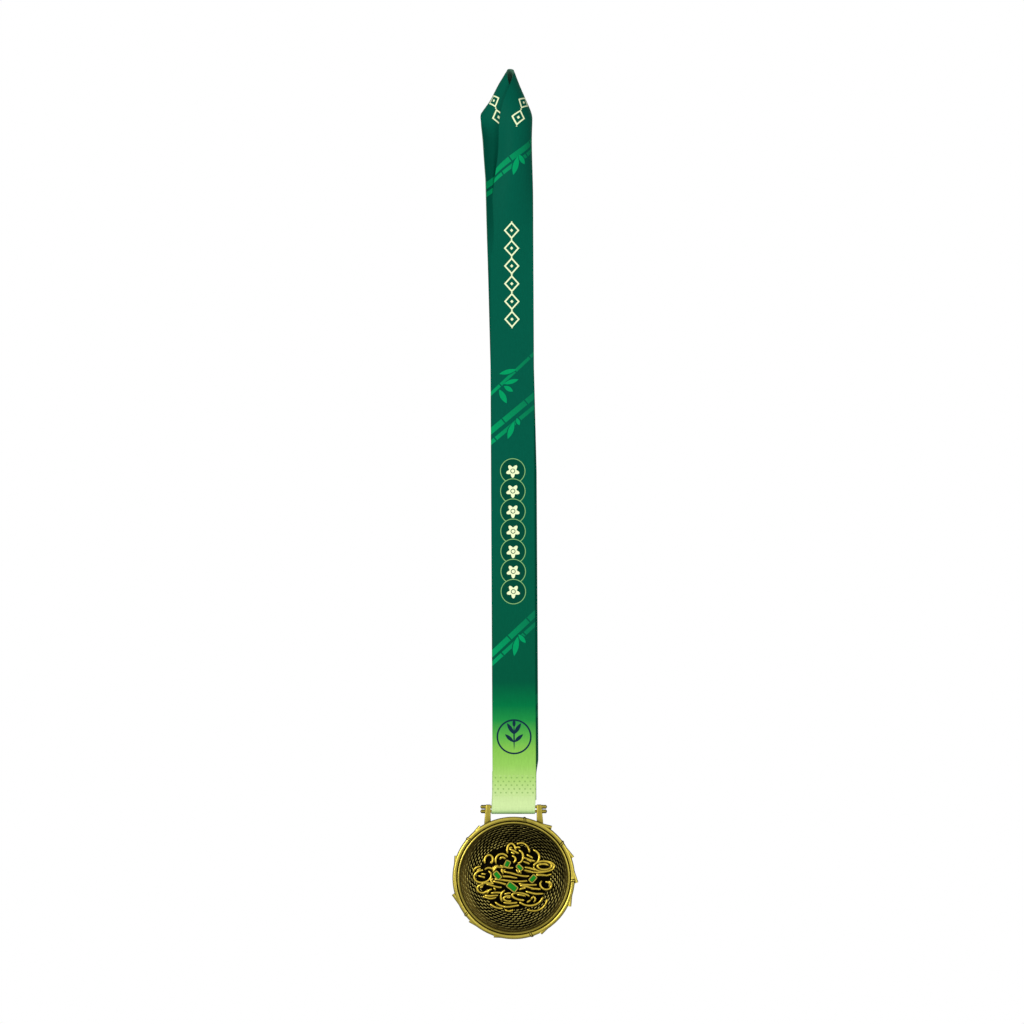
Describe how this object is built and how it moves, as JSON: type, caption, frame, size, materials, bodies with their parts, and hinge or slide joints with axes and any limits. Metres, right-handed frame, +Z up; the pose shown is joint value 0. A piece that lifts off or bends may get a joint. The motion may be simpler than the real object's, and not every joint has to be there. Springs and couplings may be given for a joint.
{
  "type": "medal",
  "caption": "Round basket-shaped medal with a nest of noodles and enamel scallion slices, hung from two crossbars on a green bamboo-print ribbon folded round a hook.",
  "frame": {"origin": "axis of the hook that the ribbon hangs from, in the eye of the neck fold", "axes": "+Z up along the hanging ribbon, +Y out of the flat back of the medal, so its face looks along -Y"},
  "size_m": [0.0726, 0.0223, 0.5002],
  "materials": {
    "antique_brass": "antique, worn bright on the high places",
    "dark_brass": "antique, darkened in the recesses",
    "enamel": "soft enamel, glossy",
    "ribbon_green": "printed satin",
    "ribbon_pale": "printed satin",
    "thread": "matt sewing thread"
  },
  "bodies": {
    "neck": {"ribbon_neck_fold": "ribbon_green"},
    "front_upper": {"ribbon_front_upper": "ribbon_green"},
    "front_lower": {"ribbon_front_lower": "ribbon_green"},
    "back_upper": {"ribbon_back_upper": "ribbon_green"},
    "back_lower": {"ribbon_back_lower": "ribbon_green"},
    "sewn_end": {"ribbon_sewn_front": "ribbon_pale", "ribbon_sewn_back": "ribbon_pale", "ribbon_tail": "ribbon_pale", "seam_thread": "thread"},
    "medal": {"basket_dish": "dark_brass", "outer_hoop": "antique_brass", "inner_hoop": "antique_brass", "hoop_bands": "antique_brass", "cane_stubs": "antique_brass", "left_post": "antique_brass", "right_post": "antique_brass", "upper_crossbar": "antique_brass", "lower_crossbar": "antique_brass", "noodle_nest": "antique_brass", "scallion_enamel_1": "enamel", "scallion_enamel_2": "enamel", "scallion_enamel_3": "enamel", "scallion_enamel_4": "enamel", "scallion_enamel_5": "enamel", "ribbon_bar_loop": "ribbon_pale"}
  },
  "joints": [
    {"name": "loop_open", "type": "hinge", "parent": "neck", "child": "front_upper", "pos_m": [0, -0.0009, -0.062], "axis": [-1, 0, 0], "range_deg": [0, 30]},
    {"name": "front_fold", "type": "hinge", "parent": "front_upper", "child": "front_lower", "pos_m": [0, -0.0003, -0.23], "axis": [1, 0, 0], "range_deg": [0, 60]},
    {"name": "front_seam", "type": "hinge", "parent": "front_lower", "child": "sewn_end", "pos_m": [0, -0.0009, -0.398], "axis": [-1, 0, 0], "range_deg": [0, 30]},
    {"name": "back_neck", "type": "hinge", "parent": "neck", "child": "back_upper", "pos_m": [0, 0.0009, -0.062], "axis": [1, 0, 0], "range_deg": [0, 30]},
    {"name": "back_fold", "type": "hinge", "parent": "back_upper", "child": "back_lower", "pos_m": [0, 0.0003, -0.23], "axis": [-1, 0, 0], "range_deg": [0, 60]},
    {"name": "medal_swing", "type": "hinge", "parent": "sewn_end", "child": "medal", "pos_m": [0, 0, -0.4196], "axis": [-1, 0, 0], "range_deg": [-90, 90]}
  ],
  "couplings": [
    {"joint": "front_fold", "follows": "loop_open", "ratio": 2},
    {"joint": "front_seam", "follows": "loop_open", "ratio": 1},
    {"joint": "back_neck", "follows": "loop_open", "ratio": 1},
    {"joint": "back_fold", "follows": "loop_open", "ratio": 2}
  ]
}
